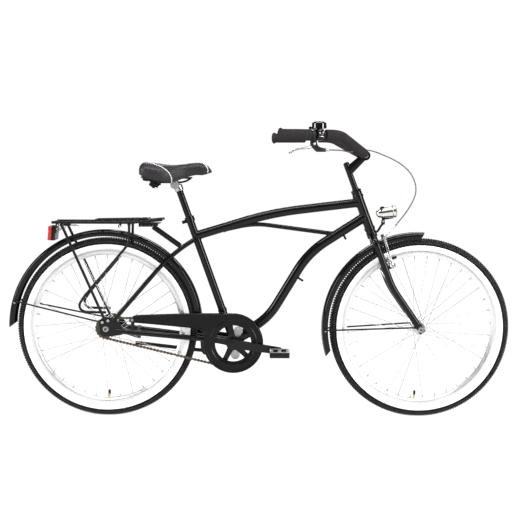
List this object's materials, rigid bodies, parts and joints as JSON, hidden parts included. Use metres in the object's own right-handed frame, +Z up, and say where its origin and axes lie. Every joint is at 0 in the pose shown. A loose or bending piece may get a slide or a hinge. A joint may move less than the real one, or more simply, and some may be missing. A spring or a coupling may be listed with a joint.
{
  "type": "bicycle",
  "caption": "Beach cruiser bicycle with curved frame tubes, swept handlebar, padded saddle, fenders, rear carrier, chain guard, coaster rear hub and hand-operated front rim brake.",
  "frame": {"origin": "on the ground below the middle of the bicycle's box", "axes": "+X forward along the bicycle, +Y to the rider's left, +Z up; the chain side is -Y"},
  "size_m": [1.8424, 0.6429, 1.0784],
  "materials": {
    "black_paint": "gloss",
    "silver_alloy": "satin",
    "steel": "satin",
    "chrome": "polished",
    "tyre": "matte",
    "foam": "matte",
    "rubber": "matte",
    "vinyl": "satin",
    "black_plastic": "semi-gloss",
    "dull_plastic": "matte",
    "chain_bronze": "satin",
    "clear_lens": "clear",
    "cable_grey": "satin"
  },
  "bodies": {
    "frame": {"head_tube": "black_paint", "top_tube": "black_paint", "down_tube": "black_paint", "seat_tube": "black_paint", "bottom_bracket_shell": "black_paint", "bottom_bracket_cups": "steel", "chain_stays": "black_paint", "seat_stays": "black_paint", "headset_cups": "black_paint", "seat_clamp": "black_paint", "rear_fender": "black_paint", "rear_fender_stays": "black_paint", "rack_platform": "black_paint", "rack_legs": "black_paint", "tail_light": "black_plastic", "chain_guard": "black_plastic", "chain_guard_brackets": "steel", "chain": "chain_bronze", "rear_axle": "steel", "coaster_brake_arm": "steel", "frame_bolts": "steel"},
    "steering": {"fork": "black_paint", "headset_nuts": "black_paint", "stem": "black_paint", "handlebar": "black_paint", "foam_grips": "foam", "bell": "chrome", "brake_lever_bracket": "black_plastic", "brake_cable": "cable_grey", "front_fender": "black_paint", "front_fender_stays": "black_paint", "headlamp_bracket": "black_paint", "front_axle": "steel"},
    "seat": {"seatpost": "black_paint", "saddle_clamp": "steel", "saddle_rails": "black_paint", "saddle_base": "dull_plastic", "saddle_cushion": "vinyl", "saddle_elastomers": "rubber"},
    "rack_clip": {"rack_spring_clip": "black_paint"},
    "kickstand": {"kickstand_leg": "black_paint"},
    "bell_thumb": {"bell_lever": "black_plastic"},
    "brake_handle": {"brake_lever": "silver_alloy"},
    "brake_right": {"brake_arm_right": "silver_alloy"},
    "brake_left": {"brake_arm_left": "silver_alloy"},
    "headlamp": {"headlamp_shell": "chrome", "headlamp_lens": "clear_lens"},
    "front_wheel": {"front_tyre": "tyre", "front_rim": "silver_alloy", "front_spokes": "steel", "front_hub": "silver_alloy"},
    "rear_wheel": {"rear_tyre": "tyre", "rear_rim": "silver_alloy", "rear_spokes": "steel", "rear_hub": "silver_alloy"},
    "sprocket": {"rear_sprocket": "steel"},
    "crank": {"chainring": "black_paint", "crank_arms": "black_paint"},
    "pedal_r": {"pedal_right": "dull_plastic"},
    "pedal_l": {"pedal_left": "dull_plastic"}
  },
  "joints": [
    {"name": "steering_turn", "type": "hinge", "parent": "frame", "child": "steering", "pos_m": [0.37908, 0, 0.7664], "axis": [-0.3507, 0, 0.9365], "range_deg": [-70, 70]},
    {"name": "front_wheel_spin", "type": "hinge", "parent": "steering", "child": "front_wheel", "pos_m": [0.59178, 0, 0.3295], "axis": [0, 1, 0], "continuous": true},
    {"name": "rear_wheel_spin", "type": "hinge", "parent": "frame", "child": "rear_wheel", "pos_m": [-0.55722, 0, 0.3295], "axis": [0, 1, 0], "continuous": true},
    {"name": "crank_spin", "type": "hinge", "parent": "frame", "child": "crank", "pos_m": [-0.09322, 0, 0.277], "axis": [0, 1, 0], "continuous": true, "deforming": ["chain"]},
    {"name": "sprocket_spin", "type": "hinge", "parent": "frame", "child": "sprocket", "pos_m": [-0.55722, 0, 0.3295], "axis": [0, 1, 0], "continuous": true},
    {"name": "pedal_right_spin", "type": "hinge", "parent": "crank", "child": "pedal_r", "pos_m": [0.07491, -0.127, 0.25187], "axis": [0, 1, 0], "continuous": true},
    {"name": "pedal_left_spin", "type": "hinge", "parent": "crank", "child": "pedal_l", "pos_m": [-0.26135, 0.127, 0.30213], "axis": [0, 1, 0], "continuous": true},
    {"name": "kickstand_fold", "type": "hinge", "parent": "frame", "child": "kickstand", "pos_m": [-0.19722, 0.0444, 0.234], "axis": [0.2248, -0.9472, -0.2287], "range_deg": [0, 95]},
    {"name": "seatpost_slide", "type": "slide", "parent": "frame", "child": "seat", "axis": [-0.3376, 0, 0.9413], "range_m": [-0.08, 0.06]},
    {"name": "rack_clip_lift", "type": "hinge", "parent": "frame", "child": "rack_clip", "pos_m": [-0.40722, 0, 0.7275], "axis": [0, 1, 0], "range_deg": [0, 60], "stiffness_Nm_per_rad": 2},
    {"name": "brake_lever_pull", "type": "hinge", "parent": "steering", "child": "brake_handle", "pos_m": [0.18528, -0.25602, 0.9995], "axis": [-0.3545, 0.935, 0], "range_deg": [0, 18], "stiffness_Nm_per_rad": 2, "deforming": ["brake_cable"]},
    {"name": "brake_arm_right_swing", "type": "hinge", "parent": "steering", "child": "brake_right", "pos_m": [0.48559, -0.041, 0.56182], "axis": [-0.9365, 0, -0.3507], "range_deg": [0, 2.2]},
    {"name": "brake_arm_left_swing", "type": "hinge", "parent": "steering", "child": "brake_left", "pos_m": [0.48559, 0.041, 0.56182], "axis": [0.9365, 0, 0.3507], "range_deg": [0, 2.2]},
    {"name": "bell_thumb_push", "type": "hinge", "parent": "steering", "child": "bell_thumb", "pos_m": [0.18878, -0.25368, 1.0496], "axis": [0, 0, 1], "range_deg": [0, 20], "stiffness_Nm_per_rad": 0.05},
    {"name": "headlamp_tilt", "type": "hinge", "parent": "steering", "child": "headlamp", "pos_m": [0.45478, 0, 0.722], "axis": [0, 1, 0], "range_deg": [-12, 12]}
  ],
  "couplings": [
    {"joint": "sprocket_spin", "follows": "crank_spin", "ratio": 2.5556},
    {"joint": "brake_arm_right_swing", "follows": "brake_lever_pull", "ratio": 0.12222},
    {"joint": "brake_arm_left_swing", "follows": "brake_lever_pull", "ratio": 0.12222}
  ]
}
